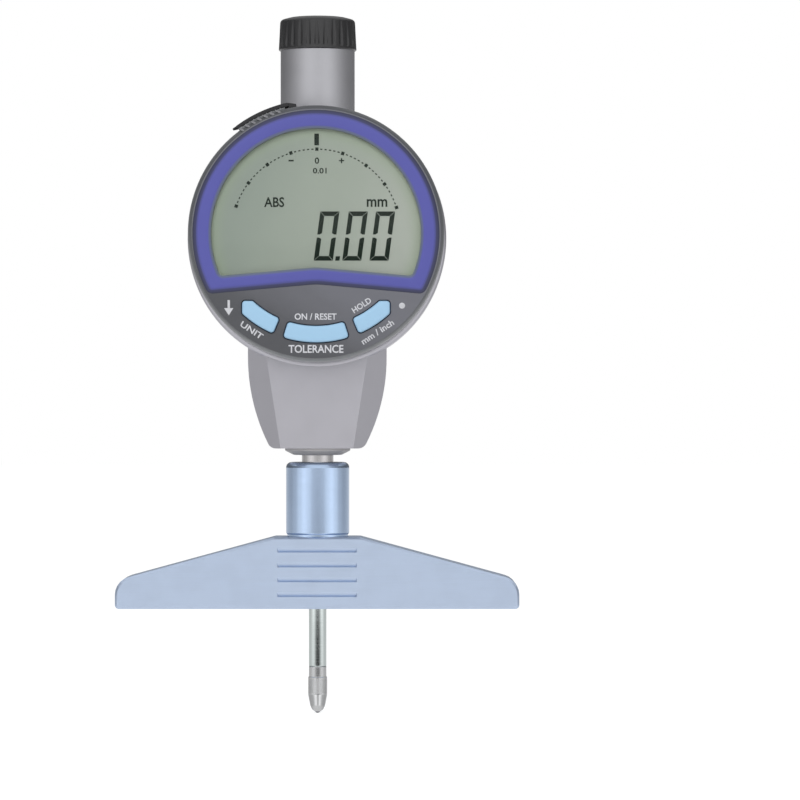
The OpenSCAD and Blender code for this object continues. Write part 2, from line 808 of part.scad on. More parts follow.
module face_panel() {
    color([0.4, 0.4, 0.42]) difference() {
        dial_slab(dial_z, panel_back, case_front) circle(r = panel_r);
        dial_slab(dial_z, panel_back - 1, case_front + 1) window_2d(0);
        for (span = [left_span, centre_span, right_span])
            dial_slab(dial_z, panel_back - 1, case_front + 1) button_2d(span, button_gap);
        on_ring(dial_z, case_screw_ring_r, case_screw_angles)
            dial_rod(screw_r, panel_back - 1, panel_back + 0.8);
    }
}

module display_frame() {
    front = case_front + frame_t;
    color([0.37, 0.38, 0.68]) sloped_edge(frame_r, case_front, front, frame_slope)
        dial_slab(dial_z, case_front, front) difference() {
            frame_2d();
            window_2d(0);
        }
}

module window_lens() {
    color([0.8, 0.85, 0.85, 0.4]) dial_slab(dial_z, panel_back, case_front + 0.2) window_2d(0);
}

module lcd_panel() {
    color([0.58, 0.61, 0.56]) dial_slab(dial_z, panel_back - lcd_t, panel_back) difference() {
        circle(r = board_r);
        below_peak(window_low - 1.2);
    }
}

// Conductive rubber strips that join the display glass to the board
module contact_strips() {
    low = board_back + board_t;
    color([0.3, 0.3, 0.3]) for (z = [-8.6, 19.4])
        translate([-13, -panel_back + lcd_t, dial_z + z])
            cube([26, panel_back - lcd_t - low, 1.6]);
}

module main_board() {
    color("darkgreen") dial_slab(dial_z, board_back, board_back + board_t) circle(r = board_r);
}

module keypad_mat() {
    low = board_back + board_t;
    mid_r = (button_in_r + button_out_r) / 2 - 0.6;
    dome_top = button_back - button_stroke - 0.3;
    color("lightgray") {
        dial_slab(dial_z, low, low + 0.8) intersection() {
            circle(r = board_r);
            translate([-22, -board_r]) square([44, 12]);
        }
        on_ring(dial_z, mid_r, [for (s = [left_span, centre_span, right_span]) (s[0] + s[1]) / 2])
            dial_rod(1.5, low + 0.7, dome_top);
    }
}

module display_retainer() {
    hub_end = body_half - front_wall - 0.05;
    color("darkgray") difference() {
        dial_ring(dial_z, 15, retainer_r, hub_end - retainer_t, hub_end);
        on_ring(dial_z, 18.5, [90, 210, 330]) {
            dial_rod(0.6, hub_end - 2, hub_end + 1);
            dial_rod(1.3, hub_end - 2, hub_end - 0.35);
        }
    }
}

module retainer_screws() {
    hub_end = body_half - front_wall - 0.05;
    color("gray") on_ring(dial_z, 18.5, [90, 210, 330])
        translate([0, -hub_end + retainer_t - 0.1, 0]) pan_screw(1.3, retainer_t - 0.45, 0.6, 2.4);
}

module case_screws() {
    color("gray") on_ring(dial_z, case_screw_ring_r, case_screw_angles)
        translate([0, -case_back - 0.1, 0]) pan_screw(1.7, 0.9, screw_r, 9.2);
}

// Button's outline: a sector of the row between two dial angles, kept inside the row's limits
module button_2d(span, grow) {
    offset(r = button_corner_r + grow) offset(delta = -button_corner_r) intersection() {
        difference() {
            circle(r = button_out_r, $fn = 180);
            circle(r = button_in_r, $fn = 180);
        }
        polygon([[0, 0], for (a = [span[0], (span[0] + span[1]) / 2, span[1]])
            40 * [cos(a), sin(a)]]);
        translate([-button_side_x, -40]) square([2 * button_side_x, 40 + button_top]);
    }
}

// Button: a bevelled cap through the panel, with a lip behind the panel that keeps it in
module button(span) {
    front = case_front + button_proud;
    bevel = 0.4;
    color([0.65, 0.8, 0.91]) {
        intersection() {
            dial_slab(dial_z, panel_back - 0.5, front) button_2d(span, 0);
            dial_lathe(dial_z, [[button_in_r, panel_back - 0.5], [button_out_r, panel_back - 0.5],
                [button_out_r, front - bevel], [button_out_r - bevel, front],
                [button_in_r + bevel, front], [button_in_r, front - bevel]]);
        }
        dial_slab(dial_z, button_back, panel_back - 0.2) button_2d(span, button_lip);
    }
}

module left_button() {
    button(left_span);
}

module centre_button() {
    button(centre_span);
}

module right_button() {
    button(right_span);
}

base();
base_collar();
collar_clamp_screw();
stem();
lower_bush();
body_housing();
upper_bush();
upper_sleeve();
sleeve_cap();
back_cover();
back_cover_seal();
back_cover_screws();
guide_rod();
stop_bumper();
return_spring();
sensor_board();
sensor_board_screws();
read_head();
flex_cable();
battery_tray();
battery_contact();
coin_cell();
friction_ring();
spindle();
contact_point();
contact_ball();
scale_carrier();
carrier_screw();
encoder_scale();
display_case();
face_panel();
display_frame();
window_lens();
lcd_panel();
contact_strips();
main_board();
keypad_mat();
data_socket();
socket_pins();
cover_anchor();
display_retainer();
retainer_screws();
case_screws();
left_button();
centre_button();
right_button();
port_cover();
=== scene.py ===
"""Digital depth gauge, dressed for the camera: finishes, print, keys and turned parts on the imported
model. A fwd depth runs from the spindle's axis towards the camera."""

import bmesh
import bpy
import numpy as np
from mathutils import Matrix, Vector


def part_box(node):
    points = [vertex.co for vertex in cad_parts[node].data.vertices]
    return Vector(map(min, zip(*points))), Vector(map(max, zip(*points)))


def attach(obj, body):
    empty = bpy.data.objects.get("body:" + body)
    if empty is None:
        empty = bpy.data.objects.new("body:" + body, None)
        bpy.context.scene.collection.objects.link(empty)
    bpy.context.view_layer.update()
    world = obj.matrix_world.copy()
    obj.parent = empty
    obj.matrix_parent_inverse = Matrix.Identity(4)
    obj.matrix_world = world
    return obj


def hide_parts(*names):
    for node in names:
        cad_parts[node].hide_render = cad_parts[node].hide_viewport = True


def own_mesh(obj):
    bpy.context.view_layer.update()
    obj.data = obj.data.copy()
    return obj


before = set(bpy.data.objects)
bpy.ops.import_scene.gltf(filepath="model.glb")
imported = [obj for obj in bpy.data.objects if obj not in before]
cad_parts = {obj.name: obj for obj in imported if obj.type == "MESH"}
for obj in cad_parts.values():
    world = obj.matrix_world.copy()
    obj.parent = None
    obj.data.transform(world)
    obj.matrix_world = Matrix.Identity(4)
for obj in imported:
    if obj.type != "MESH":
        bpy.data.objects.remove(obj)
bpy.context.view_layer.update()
mm = 0.001


# ---------------------------------------------------------------------------------------------
# The set. A level camera a metre in front of the gauge and a little to its right, white paper
# under it, and one broad soft lamp above the camera. What the metal mirrors is four bands of
# wall, one above the other, with the lit paper below them and a pale ceiling above. A wall is a
# list of levels by the angle round from the camera; each goes with the two limits of its height.

EYE = Vector((20.8 * mm, -1050 * mm, 52.45 * mm))
LENS = 187.0
PAPER = 0.86
PAPER_GLOW = 0.62
PAPER_REACH = 4
EVEN_LIGHT = 0.45
LAMP_WATTS, LAMP_SIZE = 7.5, 0.9
LAMP_AT, LAMP_AIM = Vector((-0.1, 0, 0.5)), Vector((0, 0, 0.08))
LIT_PAPER = [(0, 1.1), (40, 1.05), (75, 0.6), (120, 0.55), (160, 1.0)]
TIP_WALL = [(0, 0.6), (10, 0.8), (24, 1.75), (40, 1.25), (62, 0.65), (90, 0.55), (120, 0.55), (180, 1.0)]
SPINDLE_WALL = [(0, 0.04), (13, 0.04), (27, 0.32), (46, 0.85), (62, 1.0), (78, 0.9), (95, 0.72),
                (125, 0.7), (180, 1.0)]
COLLAR_WALL = [(0, 0.76), (18, 0.86), (35, 1.3), (52, 1.56), (68, 1.22), (88, 0.75), (111, 0.56), (180, 0.8)]
HIGH_WALL = [(0, 1.0), (20, 1.0), (40, 0.82), (55, 0.52), (70, 0.36), (90, 0.24), (120, 0.16), (180, 0.2)]
WALLS = [(-2, -1, LIT_PAPER), (-0.55, -0.45, TIP_WALL), (-0.135, -0.115, SPINDLE_WALL),
         (-0.052, -0.046, COLLAR_WALL), (-0.006, 0.014, HIGH_WALL)]
CEILING, CEILING_LIMITS = 0.9, [(0.3, 0.0), (0.8, 1.0)]
WALL_TURN = -0.05
WHITE = (1, 1, 1, 1)

camera = bpy.data.objects.new("camera", bpy.data.cameras.new("camera"))
camera.location = EYE
camera.rotation_euler = (np.pi / 2, 0, 0)
camera.data.lens = LENS
camera.data.clip_start = 0.05
camera.data.clip_end = 50
bpy.context.scene.collection.objects.link(camera)
bpy.context.scene.camera = camera
bpy.context.scene.view_settings.view_transform = "Standard"


def put(tree, socket, value):
    """The value, or the output socket that gives it, goes into the input socket."""
    if isinstance(value, bpy.types.NodeSocket):
        tree.links.new(value, socket)
    else:
        socket.default_value = value


def add(tree, kind, **values):
    """A shader node of that kind. Capital names are inputs, linked or set; others are settings."""
    made = tree.nodes.new("ShaderNode" + kind)
    for key, value in values.items():
        if key[0].islower():
            setattr(made, key, value)
        else:
            put(tree, made.inputs[key.replace("_", " ")], value)
    return made


def calc(tree, operation, *terms):
    """The output of a Math node on one, two or three numbers or outputs."""
    made = add(tree, "Math", operation=operation)
    for socket, term in zip(made.inputs, terms):
        put(tree, socket, term)
    return made.outputs[0]


def blended(tree, share, first, second):
    """The first shader's output going over to the second's as the share goes from 0 to 1."""
    made = add(tree, "MixShader", Fac=share)
    tree.links.new(first.outputs[0], made.inputs[1])
    tree.links.new(second.outputs[0], made.inputs[2])
    return made


def read_off(tree, share, stops):
    """Levels or colours read by the share off (position, value) stops in rising order, eased."""
    ramp = add(tree, "ValToRGB", Fac=share)
    ramp.color_ramp.interpolation = "EASE"
    marks = ramp.color_ramp.elements
    marks[0].position = stops[0][0]
    marks[1].position = stops[-1][0]
    for position, _ in stops[1:-1]:
        marks.new(position)
    for mark, (_, value) in zip(marks, stops):
        mark.color = value if isinstance(value, tuple) else (value, value, value, 1)
    return ramp.outputs["Color"]


def ranged(tree, share, low, high, first=0.3, last=0.7):
    """A number that runs from low to high as the share goes from first to last."""
    made = add(tree, "MapRange", Value=share)
    for key, value in zip(("From Min", "From Max", "To Min", "To Max"), (first, last, low, high)):
        made.inputs[key].default_value = value
    return made.outputs[0]


def light_the_room():
    """World: white where the camera looks, an even light for matt surfaces, and for mirrors the
    levels of the walls, read by the angle atan2(|x + WALL_TURN|, -y) in shares of 180 degrees. A
    wall takes over from the one below it as z rises from its first to its second limit, and the
    ceiling's level takes over where |z| is large."""
    world = bpy.data.worlds.new("room")
    world.use_nodes = True
    tree = world.node_tree
    tree.nodes.clear()
    way = add(tree, "SeparateXYZ", Vector=add(tree, "TexCoord").outputs["Generated"])
    aside = calc(tree, "ABSOLUTE", calc(tree, "ADD", way.outputs["X"], WALL_TURN))
    turn = calc(tree, "ARCTAN2", aside, calc(tree, "MULTIPLY", way.outputs["Y"], -1))
    share = calc(tree, "DIVIDE", turn, np.pi)
    level = WHITE
    for first, last, stops in WALLS:
        wall = read_off(tree, share, [(angle / 180, value) for angle, value in stops])
        risen = ranged(tree, way.outputs["Z"], 0, 1, first, last)
        level = add(tree, "MixRGB", Fac=risen, Color1=level, Color2=wall).outputs[0]
    steep = read_off(tree, calc(tree, "ABSOLUTE", way.outputs["Z"]), CEILING_LIMITS)
    level = add(tree, "MixRGB", Fac=steep, Color1=level, Color2=(CEILING, CEILING, CEILING, 1)).outputs[0]
    mirrored = add(tree, "Background", Color=level)
    even = add(tree, "Background", Color=WHITE, Strength=EVEN_LIGHT)
    white = add(tree, "Background", Color=WHITE)
    rays = add(tree, "LightPath")
    lit = blended(tree, rays.outputs["Is Glossy Ray"], even, mirrored)
    clear = calc(tree, "MAXIMUM", rays.outputs["Is Camera Ray"], rays.outputs["Is Transmission Ray"])
    add(tree, "OutputWorld", Surface=blended(tree, clear, lit, white).outputs[0])
    bpy.context.scene.world = world


def lay_the_paper(reach):
    """White paper at the height of the contact's lowest point: a square, reach metres to each side."""
    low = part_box("contact_ball")[0].z
    corners = [(-reach, -reach, low), (reach, -reach, low), (reach, reach, low), (-reach, reach, low)]
    mesh = bpy.data.meshes.new("paper")
    mesh.from_pydata(corners, [], [(0, 1, 2, 3)])
    paper = bpy.data.objects.new("paper", mesh)
    paper.visible_glossy = False
    bpy.context.scene.collection.objects.link(paper)
    white = bpy.data.materials.new("paper_white")
    white.use_nodes = True
    tree = white.node_tree
    tree.nodes.clear()
    seen = add(tree, "LightPath").outputs["Is Camera Ray"]
    glow = add(tree, "Emission", Strength=calc(tree, "MULTIPLY", seen, PAPER_GLOW))
    matt = add(tree, "BsdfDiffuse", Color=(PAPER, PAPER, PAPER, 1))
    both = add(tree, "AddShader")
    tree.links.new(matt.outputs[0], both.inputs[0])
    tree.links.new(glow.outputs[0], both.inputs[1])
    add(tree, "OutputMaterial", Surface=both.outputs[0])
    mesh.materials.append(white)


light_the_room()
lay_the_paper(PAPER_REACH)

lamp = bpy.data.objects.new("soft_lamp", bpy.data.lights.new("soft_lamp", "AREA"))
lamp.data.shape = "DISK"
lamp.data.size = LAMP_SIZE
lamp.data.energy = LAMP_WATTS
lamp.location = EYE + LAMP_AT
lamp.rotation_euler = (LAMP_AIM - lamp.location).to_track_quat("-Z", "Y").to_euler()
lamp.visible_glossy = False
bpy.context.scene.collection.objects.link(lamp)


# ---------------------------------------------------------------------------------------------
# Base. A steel bar, ground all over to a pale satin, with four finger grooves milled on each
# side. The grinding leaves fine straight marks along its length.

def linear(shade, gain=1.0):
    """Linear colour of a '#rrggbb' shade, times gain: a part c becomes ((c + 0.055) / 1.055) ** 2.4."""
    parts = [int(shade[i:i + 2], 16) / 255 for i in (1, 3, 5)]
    return (*[gain * (((c + 0.055) / 1.055) ** 2.4 if c > 0.04 else c / 12.92) for c in parts], 1)


def spots(tree, size, stretch=(1, 1, 1), detail=3.0):
    """Noise round 0.5 on the piece's own coordinates: grains size mm wide, longer by the stretch."""
    where = add(tree, "Mapping", Vector=add(tree, "TexCoord").outputs["Object"])
    where.inputs["Scale"].default_value = [1 / times for times in stretch]
    return add(tree, "TexNoise", Vector=where.outputs[0], Scale=1 / (size * mm), Detail=detail).outputs["Fac"]


def relief(tree, shader, share, height, edge):
    """Bump height mm high where the share is 1, on a surface whose edges are eased by edge mm."""
    bump = add(tree, "Bump", Height=share, Distance=height * mm)
    if edge:
        soft = add(tree, "Bevel", samples=4)
        soft.inputs["Radius"].default_value = edge * mm
        tree.links.new(soft.outputs[0], bump.inputs["Normal"])
    tree.links.new(bump.outputs[0], shader.inputs["Normal"])


def new_finish(name, shade, metallic, roughness, **own):
    """A material with one shader: its colour, metallic share, roughness and any inputs of its own."""
    made = bpy.data.materials.new(name)
    made.use_nodes = True
    shader = made.node_tree.nodes["Principled BSDF"]
    shader.inputs["Base Color"].default_value = linear(shade)
    shader.inputs["Metallic"].default_value = metallic
    shader.inputs["Roughness"].default_value = roughness
    for key, value in own.items():
        shader.inputs[key.replace("_", " ")].default_value = value
    return made, made.node_tree, shader


def grained(tree, shader, grain, low, high, height, edge=0):
    """The grain moves the roughness from low to high, and stands height mm high."""
    put(tree, shader.inputs["Roughness"], ranged(tree, grain, low, high))
    relief(tree, shader, grain, height, edge)


def shaded(tree, share, stops):
    """The colour read by the share off (position, shade) stops."""
    return read_off(tree, share, [(position, linear(shade)) for position, shade in stops])


def worked(name, shade, metallic, roughness, size, stretch=(1, 1, 1), height=0.003, uneven=0.05,
           fade=0.96, patch=6.0, edge=0.12, **own):
    """A finish with marks of that grain size and stretch. They stand height mm high and move the
    roughness by uneven; patches some mm wide darken the colour down to fade of the shade."""
    made, tree, shader = new_finish(name, shade, metallic, roughness, **own)
    grain = spots(tree, size, stretch)
    patches = calc(tree, "MULTIPLY", spots(tree, patch, detail=2.0), 0.6)
    cloud = calc(tree, "MULTIPLY_ADD", grain, 0.4, patches)
    put(tree, shader.inputs["Base Color"],
        read_off(tree, cloud, [(0.36, linear(shade, fade)), (0.6, linear(shade))]))
    grained(tree, shader, grain, roughness - uneven, roughness + uneven, height, edge)
    return made


def dress(look, *names):
    """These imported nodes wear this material."""
    for name in names:
        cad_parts[name].data.materials[0] = look


LONG_X, ROUND_Z = (60, 1, 1), (50, 50, 1)
dress(worked("ground_steel", "#C8D7EE", 1, 0.42, size=0.12, stretch=LONG_X, height=0.002), "base")


# ---------------------------------------------------------------------------------------------
# Collar and its set screw. The collar is turned from steel, its spigot pressed into the base,
# and left brighter than the base; the screw is plated.

dress(worked("collar_steel", "#B8CCE8", 1, 0.14, size=0.1, stretch=ROUND_Z, height=0.0006, uneven=0.02),
      "base_collar")
dress(worked("plated_screw", "#8E9094", 1, 0.32, size=0.3, height=0.002, edge=0.05),
      "collar_clamp_screw", "back_cover_screws", "sensor_board_screws", "retainer_screws", "case_screws",
      "carrier_screw")


# ---------------------------------------------------------------------------------------------
# Stem and its bushes. The stem is turned with its flange in one piece; the stem is polished, and
# the flange is blasted like the body above it. The two bushes are bearing bronze.

FLANGE_H, FLANGE_ROUGHER, FLANGE_DULLER = 1.8, 0.45, 0.7


def along(tree, axis):
    """The piece's own coordinate on that axis, in metres."""
    return add(tree, "SeparateXYZ", Vector=add(tree, "TexCoord").outputs["Object"]).outputs[axis]


def stem_look():
    """Turned steel, polished below; over the flange's height, read by Z, rougher and less bright."""
    made, tree, shader = new_finish("stem_steel", "#BFBDBE", 1, 0.16)
    flange = calc(tree, "GREATER_THAN", along(tree, "Z"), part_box("body_housing")[0].z - FLANGE_H * mm)
    grain = spots(tree, 0.1, ROUND_Z)
    polished = ranged(tree, grain, 0.1, 0.18)
    put(tree, shader.inputs["Roughness"], calc(tree, "MULTIPLY_ADD", flange, FLANGE_ROUGHER, polished))
    put(tree, shader.inputs["Metallic"], calc(tree, "MULTIPLY_ADD", flange, -FLANGE_DULLER, 1.0))
    put(tree, shader.inputs["Base Color"], shaded(tree, grain, [(0.3, "#BCBABB"), (0.7, "#C8C6C7")]))
    relief(tree, shader, grain, 0.001, 0.1)
    return made


dress(stem_look(), "stem")
dress(worked("bush_bronze", "#A9844E", 1, 0.3, size=0.1, stretch=ROUND_Z, height=0.001),
      "lower_bush", "upper_bush")


# ---------------------------------------------------------------------------------------------
# Body. One light-alloy casting, the round head and the tapering neck, blasted to a fine even
# grain that looks the same from all sides, then left bare.

dress(worked("cast_metal", "#C1C0C7", 1, 0.44, size=0.14, height=0.004, uneven=0.04, patch=9.0, edge=0.15),
      "body_housing")


# ---------------------------------------------------------------------------------------------
# Back cover, its seal and the display's retaining ring. The cover is turned from sheet, so its
# marks run in circles round its middle; the seal is a rubber ring.

def middle(name):
    """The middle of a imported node's box, in metres."""
    low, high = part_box(name)
    return (low + high) / 2


def radius(tree, name):
    """The distance, in metres, from the line along Y at x = 0 and the height of the node's middle."""
    where = add(tree, "Mapping", Vector=add(tree, "TexCoord").outputs["Object"])
    where.inputs["Location"].default_value = (0, 0, -middle(name).z)
    where.inputs["Scale"].default_value = (1, 0, 1)
    return add(tree, "VectorMath", operation="LENGTH", Vector=where.outputs[0]).outputs["Value"]


def turned_disc(finish, shade, roughness, size, name):
    """Metal whose marks run round the named node's middle: noise read by the radius."""
    made, tree, shader = new_finish(finish, shade, 1, roughness)
    marks = add(tree, "TexNoise", noise_dimensions="1D", W=radius(tree, name), Scale=1 / (size * mm),
                Detail=4.0).outputs["Fac"]
    put(tree, shader.inputs["Base Color"],
        read_off(tree, marks, [(0.3, linear(shade, 0.9)), (0.7, linear(shade))]))
    grained(tree, shader, marks, roughness - 0.07, roughness + 0.07, 0.002, 0.15)
    dress(made, name)


turned_disc("cover_metal", "#A8A8AE", 0.36, 0.25, "back_cover")
turned_disc("retainer_metal", "#9A9AA0", 0.3, 0.2, "display_retainer")
rubber = worked("black_rubber", "#2A2A2C", 0, 0.62, size=0.2, height=0.003, patch=3.0, edge=0.08)
dress(rubber, "back_cover_seal", "friction_ring", "stop_bumper")


# ---------------------------------------------------------------------------------------------
# Upper sleeve. A light-alloy tube over the spindle's upper end, turned and then blasted a
# little finer than the body.

dress(worked("sleeve_metal", "#C2C2C7", 1, 0.38, size=0.12, stretch=(4, 4, 1), height=0.003), "upper_sleeve")


# ---------------------------------------------------------------------------------------------
# Cap. Black moulded screw cap: flutes like thumbnail cuts run up its side and out through the
# rounded rim, so that it can be unscrewed by hand.

FLUTES, FLUTE_POINTS = 28, 14
FLUTE_R, FLUTE_OUT = 0.7, 0.25
FOOT_H, FOOT_EASE = 0.6, 0.5
SLEEVE_BORE_R, THREAD_WALL, THREAD_H = 7.7, 0.8, 4.6
CAP_TOP = 1.4


def rounded(corners, radii, steps=6):
    """A polyline whose corners are rounded: each becomes an arc that touches both of its sides."""
    corners = np.asarray(corners, float)
    line = []
    for before, here, after, r in zip(np.roll(corners, 1, 0), corners, np.roll(corners, -1, 0), radii):
        if r == 0:
            line.append(here[None])
            continue
        u = (before - here) / np.linalg.norm(before - here)
        w = (after - here) / np.linalg.norm(after - here)
        half = np.arccos(u @ w) / 2
        centre = here + (u + w) / np.linalg.norm(u + w) * r / np.sin(half)
        first = here + u * r / np.tan(half) - centre
        last = here + w * r / np.tan(half) - centre
        sweep = np.arctan2(first[0] * last[1] - first[1] * last[0], first @ last)
        a = np.linspace(0, sweep, steps + 1)[:, None]
        line.append(centre + first * np.cos(a) + np.array([-first[1], first[0]]) * np.sin(a))
    return np.concatenate(line)


def filled(line, step):
    """The same polyline with points added so that none of its stretches is much over step long."""
    run = np.concatenate([[0], np.cumsum(np.linalg.norm(np.diff(line, axis=0), axis=1))])
    marks = np.union1d(run, np.linspace(0, run[-1], int(run[-1] / step) + 2))
    marks = marks[np.concatenate([[True], np.diff(marks) > step * 0.05])]
    return np.stack([np.interp(marks, run, line[:, i]) for i in (0, 1)], axis=1)


def grid_faces(rows, columns):
    """Quads between the points of a grid stored row by row, whose rows close on themselves."""
    row = np.arange(rows - 1)[:, None] * columns
    here = np.arange(columns)[None]
    there = (here + 1) % columns
    corners = [row + here, row + there, row + there + columns, row + here + columns]
    return np.stack(corners, -1).reshape(-1, 4)


def revolved(reach, heights, a):
    """Points and faces of a surface about the Z axis: for each height, its reach at each angle."""
    points = np.stack([reach * np.cos(a), reach * np.sin(a), np.broadcast_to(heights, reach.shape)], axis=-1)
    return points, grid_faces(*reach.shape)


def piece(name, points, faces, look, body, slot, stands_for=(), sharp=35, mark=None):
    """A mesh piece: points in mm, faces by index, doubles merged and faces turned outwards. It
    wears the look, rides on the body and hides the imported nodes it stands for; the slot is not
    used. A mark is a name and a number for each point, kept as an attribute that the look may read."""
    mesh = bpy.data.meshes.new(name)
    mesh.from_pydata((np.asarray(points).reshape(-1, 3) * mm).tolist(), [],
                     [list(map(int, face)) for face in faces])
    if mark:
        mesh.attributes.new(mark[0], "FLOAT", "POINT").data.foreach_set("value", mark[1])
    shape = bmesh.new()
    shape.from_mesh(mesh)
    bmesh.ops.remove_doubles(shape, verts=shape.verts, dist=1e-7)
    bmesh.ops.recalc_face_normals(shape, faces=shape.faces)
    shape.to_mesh(mesh)
    shape.free()
    mesh.shade_smooth()
    mesh.set_sharp_from_angle(angle=np.radians(sharp))
    made = bpy.data.objects.new(name, mesh)
    bpy.context.scene.collection.objects.link(made)
    mesh.materials.append(look)
    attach(made, body)
    if stands_for:
        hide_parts(*stands_for)
    return made


def fluted_cap():
    """Half outline turned about the axis. Above the plain foot the radius is no more than that of
    the flute's wall: out - sqrt(FLUTE_R ** 2 - w ** 2), w being the way round from its middle."""
    lowest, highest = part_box("sleeve_cap")
    low, high, r = lowest.z / mm, highest.z / mm, (highest.x - lowest.x) / 2 / mm
    seat = SLEEVE_BORE_R + THREAD_WALL
    half = [[0, high - CAP_TOP], [SLEEVE_BORE_R, high - CAP_TOP], [SLEEVE_BORE_R, low + THREAD_H],
            [seat, low + THREAD_H], [seat, low], [r, low], [r - 0.4, high - 0.7], [r - 3, high], [0, high]]
    line = filled(rounded(half, [0, 0, 0, 0, 0, 0.3, 1, 4, 0]), 0.3)
    a = np.linspace(0, 2 * np.pi, FLUTES * FLUTE_POINTS, endpoint=False)
    aside = r * (np.mod(a + np.pi / FLUTES, 2 * np.pi / FLUTES) - np.pi / FLUTES)
    wall = r + FLUTE_OUT - np.sqrt(np.clip(FLUTE_R ** 2 - aside ** 2, 0, None))
    wall[np.abs(aside) >= FLUTE_R] = r + FLUTE_OUT
    foot = np.clip((line[:, 1] - low - FOOT_H) / FOOT_EASE, 0, 1)[:, None]
    wall = wall[None] + (1 - foot * foot * (3 - 2 * foot)) * FLUTE_R
    return revolved(np.minimum(line[:, :1], wall), line[:, 1:], a)


piece("fluted_cap", *fluted_cap(),
      worked("cap_black", "#1D1D1F", 0, 0.32, size=0.2, height=0.004, patch=3.0, edge=0,
             Specular_IOR_Level=0.75),
      "housing", "cap_black", ["sleeve_cap"])


# ---------------------------------------------------------------------------------------------
# Works behind the dial: battery, sensor, ribbon, spring and boards. They are plain bought
# parts: drawn steel cell, gilt contacts, green boards with tracks, amber film, black resin.

def board_look(name, pitch):
    """Green solder mask over tracks: waves along X, cut off by noise, stand proud."""
    made, tree, shader = new_finish(name, "#1E5A36", 0, 0.38)
    where = add(tree, "TexCoord").outputs["Object"]
    across = add(tree, "TexWave", Vector=where, Scale=1 / (pitch * mm) / 20, Distortion=2.0).outputs["Fac"]
    tracks = read_off(tree, calc(tree, "MULTIPLY", across, spots(tree, pitch * 3)), [(0.3, 0.0), (0.36, 1.0)])
    put(tree, shader.inputs["Base Color"], shaded(tree, tracks, [(0.0, "#174A2B"), (1.0, "#2C7A4A")]))
    put(tree, shader.inputs["Roughness"], ranged(tree, tracks, 0.42, 0.3, 0, 1))
    relief(tree, shader, tracks, 0.03, 0)
    return made


def lined(name, light, dark, pitch, roughness):
    """A finish with straight bands pitch mm apart along X, from the light shade to the dark."""
    made, tree, shader = new_finish(name, light, 0, roughness)
    where = add(tree, "TexCoord").outputs["Object"]
    bands = add(tree, "TexWave", Vector=where, Scale=np.pi / (10 * pitch * mm)).outputs["Fac"]
    put(tree, shader.inputs["Base Color"], shaded(tree, bands, [(0.45, dark), (0.55, light)]))
    put(tree, shader.inputs["Roughness"], ranged(tree, spots(tree, 0.4), roughness - 0.05, roughness + 0.05))
    relief(tree, shader, bands, 0.02, 0)
    return made


dress(board_look("board_green", 0.7), "sensor_board", "main_board")
dress(worked("black_moulding", "#29292B", 0, 0.5, size=0.25, height=0.004, edge=0.1),
      "read_head", "battery_tray", "scale_carrier", "data_socket")
dress(worked("contact_gold", "#D3AE4C", 1, 0.28, size=0.3, height=0.002, edge=0.05),
      "battery_contact", "socket_pins")
turned_disc("cell_steel", "#C9C9CB", 0.25, 0.3, "coin_cell")
dress(lined("ribbon_film", "#B87A33", "#93581F", 0.5, 0.35), "flex_cable")
dress(lined("scale_print", "#CFC9A4", "#9C8B54", 1.2, 0.25), "encoder_scale")
dress(worked("silicone", "#B9BABB", 0, 0.6, size=0.4, height=0.003), "keypad_mat")
dress(lined("strip_rubber", "#C9A9A4", "#3C3C3E", 0.4, 0.6), "contact_strips")
wire = worked("drawn_wire", "#BFC2C4", 1, 0.25, size=0.2, height=0.001, edge=0)
dress(wire, "guide_rod")


def coil_spring():
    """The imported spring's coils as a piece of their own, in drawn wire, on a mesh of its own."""
    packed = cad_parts["return_spring"].data
    points = np.array([vertex.co for vertex in packed.vertices]) / mm
    faces = [list(face.vertices) for face in packed.polygons]
    made = piece("coil_spring", points, faces, wire, "housing", "turned_steel", ["return_spring"])
    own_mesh(made)


coil_spring()


# ---------------------------------------------------------------------------------------------
# Display case. A shallow dark grey moulded cup, ribbed on its upper left beside the socket cover.
# Its front edge is sloped off. A painted highlight lightens the grey towards the rim, and a
# painted reflection of the lit paper lightens it lower down.

# Painted highlight: the grey lightens out over the sloped edge, for the light that it catches.
RIM_HIGHLIGHT_SHADES = [(30.9, "#4A4C50"), (31.4, "#616366"), (31.9, "#929496"), (32.4, "#B2B3B4")]
RIM_SPAN, RIM_UNEVEN, RIM_LIT_BELOW = 50, 0.2, 0.015


def rim_look():
    """Moulded grey that lightens with the distance from the dial's middle, a painted highlight on the
    sloped edge. Noise adds up to RIM_UNEVEN mm to the distance, and each mm lower down adds a little
    more, a painted reflection of the lit paper that the edge faces there."""
    made, tree, shader = new_finish("case_grey", "#6C6E71", 0, 0.42)
    up = calc(tree, "SUBTRACT", along(tree, "Z"), middle("face_panel").z)
    away = calc(tree, "MULTIPLY_ADD", up, -RIM_LIT_BELOW, radius(tree, "face_panel"))
    away = calc(tree, "MULTIPLY_ADD", spots(tree, 3.0), RIM_UNEVEN * mm, away)
    stops = [((r + RIM_UNEVEN / 2) / RIM_SPAN, shade) for r, shade in RIM_HIGHLIGHT_SHADES]
    put(tree, shader.inputs["Base Color"], shaded(tree, calc(tree, "DIVIDE", away, RIM_SPAN * mm), stops))
    grained(tree, shader, spots(tree, 0.12), 0.37, 0.47, 0.003, 0.1)
    return made


dress(rim_look(), "display_case")


# ---------------------------------------------------------------------------------------------
# Socket cover. Soft black rubber strip bent round the case's rim over the data socket. The tongue
# beside it, which thins out to its right end, is the part that is fixed to the case. Below the
# cover, a row of short slanting ribs stands on the case's front edge.

dress(rubber, "port_cover")
dial = middle("face_panel") / mm
COVER_R = 33.2
TONGUE_FROM, TONGUE_TO = 98.9, 102.2
TONGUE_IN_R, TONGUE_END_R = 31.65, 32.6
RIB_AT = np.linspace(107.2, 125.6, 7)
RIB_R, RIB_SLOPE = 31.55, -18
RIB_H, RIB_PROUD = 1.2, 0.05


